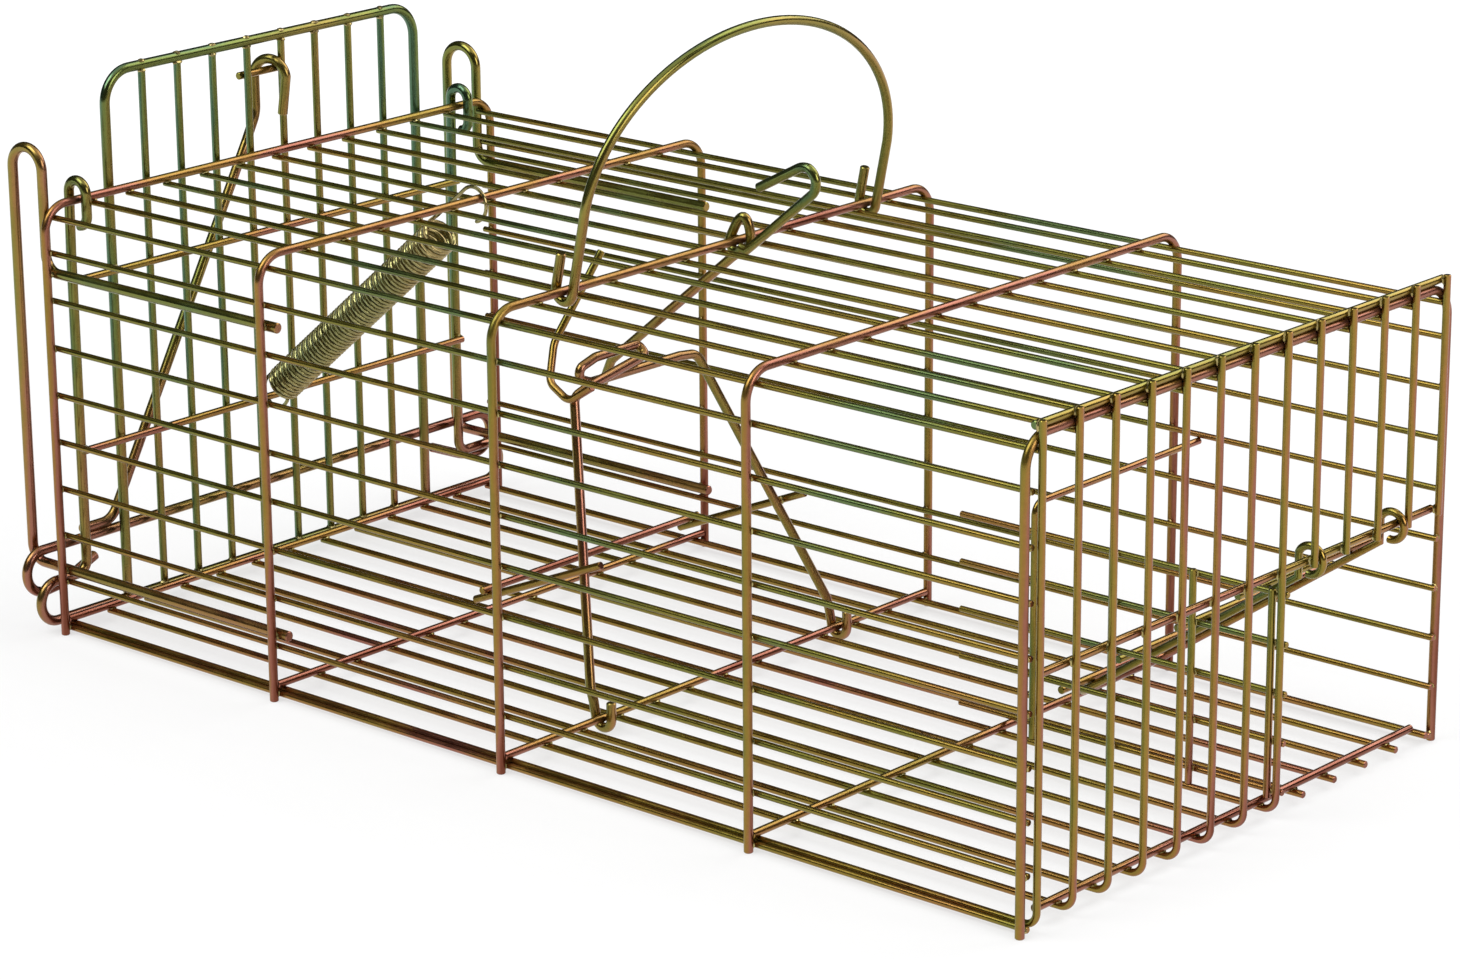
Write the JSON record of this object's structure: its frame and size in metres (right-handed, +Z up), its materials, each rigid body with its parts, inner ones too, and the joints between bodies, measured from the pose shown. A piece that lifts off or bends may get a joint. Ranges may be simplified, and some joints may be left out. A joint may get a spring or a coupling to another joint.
{
  "type": "cage trap",
  "caption": "Welded wire live-catch cage trap with a sprung rear door, lock bar, treadle trigger, one-way side entrance flap and carrying handle.",
  "frame": {"origin": "centre of the box round the trap, on the ground under the hoop legs", "axes": "+X along the cage from the sprung door to the entrance end, +Y to the entrance side, +Z up"},
  "size_m": [0.2967, 0.1562, 0.1534],
  "materials": {
    "cage_wire": "yellow passivated zinc with green and red tints",
    "heavy_wire": "yellow passivated zinc with red and green tints",
    "spring_wire": "bright zinc"
  },
  "bodies": {
    "cage": {"hoop_rear": "cage_wire", "hoop_second": "cage_wire", "hoop_middle": "cage_wire", "hoop_fourth": "cage_wire", "hoop_front": "cage_wire", "top_wires": "cage_wire", "near_side_wires": "cage_wire", "far_side_wires": "cage_wire", "floor_wires": "cage_wire", "floor_bars": "cage_wire", "front_long_wires": "cage_wire", "front_short_wires": "cage_wire", "front_top_bar": "cage_wire", "front_mid_bar": "cage_wire", "near_guide": "heavy_wire", "far_guide": "heavy_wire", "tunnel_wires": "cage_wire", "tunnel_uprights": "cage_wire", "flap_stop": "cage_wire", "door_spring": "spring_wire"},
    "door": {"door_frame": "heavy_wire", "door_panel_frame": "heavy_wire", "door_bars": "cage_wire", "door_cross_bars": "cage_wire", "arm_peg": "cage_wire"},
    "lock": {"lock_bar": "heavy_wire", "set_arm": "heavy_wire"},
    "trigger": {"trigger_lever": "cage_wire"},
    "treadle": {"treadle_frame": "cage_wire", "treadle_tray": "cage_wire", "bait_hook": "cage_wire"},
    "handle": {"carry_handle": "cage_wire"},
    "flap": {"flap_frame": "cage_wire", "flap_bars": "cage_wire"}
  },
  "joints": [
    {"name": "door_swing", "type": "hinge", "parent": "cage", "child": "door", "pos_m": [-0.1347, 0, 0.102], "axis": [0, 1, 0], "range_deg": [0, 1.6], "deforming": ["door_spring"]},
    {"name": "lock_lift", "type": "slide", "parent": "door", "child": "lock", "axis": [0, 0, 1], "range_m": [0, 0.003]},
    {"name": "trigger_pivot", "type": "hinge", "parent": "cage", "child": "trigger", "pos_m": [0.0053, 0, 0.102], "axis": [0, 1, 0], "range_deg": [-5, 22]},
    {"name": "treadle_tilt", "type": "hinge", "parent": "cage", "child": "treadle", "pos_m": [0.0053, 0, 0.0036], "axis": [0, -1, 0], "range_deg": [-3, 8]},
    {"name": "handle_fold", "type": "hinge", "parent": "cage", "child": "handle", "pos_m": [0.0053, 0, 0.102], "axis": [0, 1, 0], "range_deg": [-100, 73]},
    {"name": "flap_swing", "type": "hinge", "parent": "cage", "child": "flap", "pos_m": [0.1454, 0, 0.0535], "axis": [0, 1, 0], "range_deg": [-4, 30]}
  ]
}
